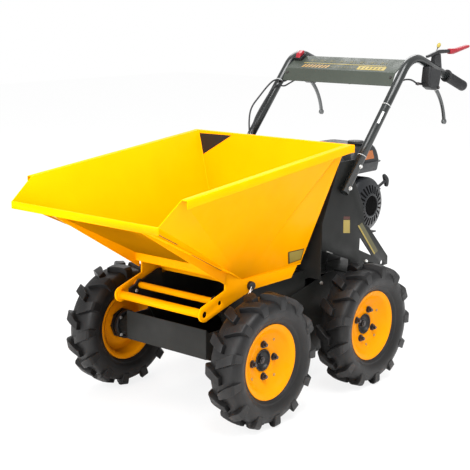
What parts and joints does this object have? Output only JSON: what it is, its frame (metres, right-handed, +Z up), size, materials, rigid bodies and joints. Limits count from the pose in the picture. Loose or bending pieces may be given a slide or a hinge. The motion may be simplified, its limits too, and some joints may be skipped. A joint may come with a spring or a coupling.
{
  "type": "motorized wheelbarrow",
  "caption": "Walk-behind wheeled mini dumper: an engine on a box chassis with lug tyres and a tipping tub with a pouring spout, steered by two handles.",
  "frame": {"origin": "on the ground under the centre of the bounding box", "axes": "+Z up, -Y towards the spout at the front, +X towards the machine's left side"},
  "size_m": [0.732, 1.674, 1.124],
  "materials": {
    "tyre": "matte black rubber",
    "rim_paint": "glossy yellow-orange paint",
    "hub_paint": "black paint",
    "chassis_paint": "semi-gloss black powder coat",
    "cast_metal": "rough dark casting",
    "engine_paint": "semi-gloss black paint",
    "black_plastic": "moulded black plastic",
    "tub_paint": "glossy bright yellow paint",
    "bare_steel": "plain dark steel",
    "console_paint": "dark grey-green paint",
    "grip_rubber": "ribbed black rubber",
    "lever_metal": "polished aluminium",
    "red_plastic": "red plastic",
    "yellow_plastic": "yellow plastic"
  },
  "bodies": {
    "chassis": {"chassis_side_left": "chassis_paint", "chassis_side_right": "chassis_paint", "front_plate": "chassis_paint", "rear_plate": "chassis_paint", "belly_plate": "chassis_paint", "rear_deck": "chassis_paint", "pivot_lugs": "chassis_paint", "axle_housings_front": "chassis_paint", "axle_housings_rear": "chassis_paint", "bay_side_left": "chassis_paint", "bay_side_right": "chassis_paint", "bay_front_panel": "chassis_paint", "engine_deck": "chassis_paint", "belt_guard": "chassis_paint", "handle_tube_left": "chassis_paint", "handle_tube_right": "chassis_paint", "gearbox": "cast_metal", "engine_block": "cast_metal", "engine_cylinder": "cast_metal", "recoil_cover": "engine_paint", "fuel_tank": "engine_paint", "muffler": "engine_paint", "air_cleaner": "black_plastic", "recoil_handle": "black_plastic", "fuel_cap": "black_plastic", "lever_brackets": "black_plastic", "stop_switch": "black_plastic", "drive_stand": "black_plastic", "drive_lever": "black_plastic", "cables_left": "black_plastic", "cables_right": "black_plastic", "console": "console_paint", "grips": "grip_rubber", "hand_levers": "lever_metal", "drive_grip": "red_plastic", "stop_rocker": "red_plastic", "throttle": "yellow_plastic"},
    "tub": {"tub_floor": "tub_paint", "tub_rear": "tub_paint", "tub_side_left": "tub_paint", "tub_side_right": "tub_paint", "tub_arm_left": "tub_paint", "tub_arm_right": "tub_paint", "spout_frame": "tub_paint", "floor_rail": "tub_paint", "front_tube": "tub_paint", "pivot_tube": "tub_paint", "lock_pins": "bare_steel"},
    "wheel_front_left": {"tyre_front_left": "tyre", "rim_front_left": "rim_paint", "hub_front_left": "hub_paint"},
    "wheel_front_right": {"tyre_front_right": "tyre", "rim_front_right": "rim_paint", "hub_front_right": "hub_paint"},
    "wheel_rear_left": {"tyre_rear_left": "tyre", "rim_rear_left": "rim_paint", "hub_rear_left": "hub_paint"},
    "wheel_rear_right": {"tyre_rear_right": "tyre", "rim_rear_right": "rim_paint", "hub_rear_right": "hub_paint"}
  },
  "joints": [
    {"name": "wheel_front_left_spin", "type": "hinge", "parent": "chassis", "child": "wheel_front_left", "pos_m": [0.31, -0.401, 0.20744], "axis": [1, 0, 0], "continuous": true},
    {"name": "wheel_front_right_spin", "type": "hinge", "parent": "chassis", "child": "wheel_front_right", "pos_m": [-0.31, -0.401, 0.20744], "axis": [1, 0, 0], "continuous": true},
    {"name": "wheel_rear_left_spin", "type": "hinge", "parent": "chassis", "child": "wheel_rear_left", "pos_m": [0.31, 0.128, 0.20744], "axis": [1, 0, 0], "continuous": true},
    {"name": "wheel_rear_right_spin", "type": "hinge", "parent": "chassis", "child": "wheel_rear_right", "pos_m": [-0.31, 0.128, 0.20744], "axis": [1, 0, 0], "continuous": true},
    {"name": "tub_tip", "type": "hinge", "parent": "chassis", "child": "tub", "pos_m": [0, -0.452, 0.373], "axis": [1, 0, 0], "range_deg": [0, 75]}
  ]
}
